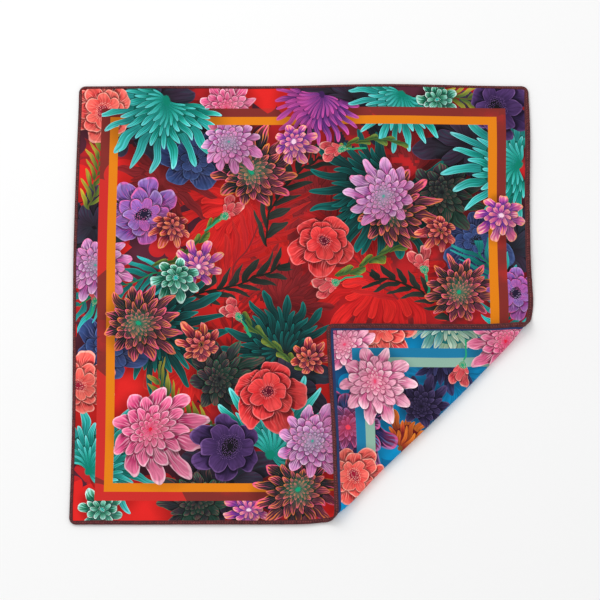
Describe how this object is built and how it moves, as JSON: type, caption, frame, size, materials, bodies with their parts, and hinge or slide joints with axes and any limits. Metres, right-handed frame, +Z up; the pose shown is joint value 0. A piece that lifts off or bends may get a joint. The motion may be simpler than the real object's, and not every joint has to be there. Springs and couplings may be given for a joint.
{
  "type": "furoshiki wrapping cloth",
  "caption": "Thin square wrapping cloth with a narrow turned hem, lying flat and face up, one corner folded over onto it to show the reverse.",
  "frame": {"origin": "under the middle of the cloth's bounding box, on the surface that it lies on", "axes": "+Z up out of the cloth, +X to the right and +Y away along its sides; the folded corner is at +X -Y"},
  "size_m": [0.5036, 0.502, 0.0146],
  "materials": {
    "printed_satin": "satin, printed with flowers in many colours over red on the front and over blue on the reverse",
    "hem_satin": "plain maroon satin, turned twice",
    "hem_thread": "maroon sewing thread"
  },
  "bodies": {
    "root": {"cloth": "printed_satin"}
  },
  "joints": []
}
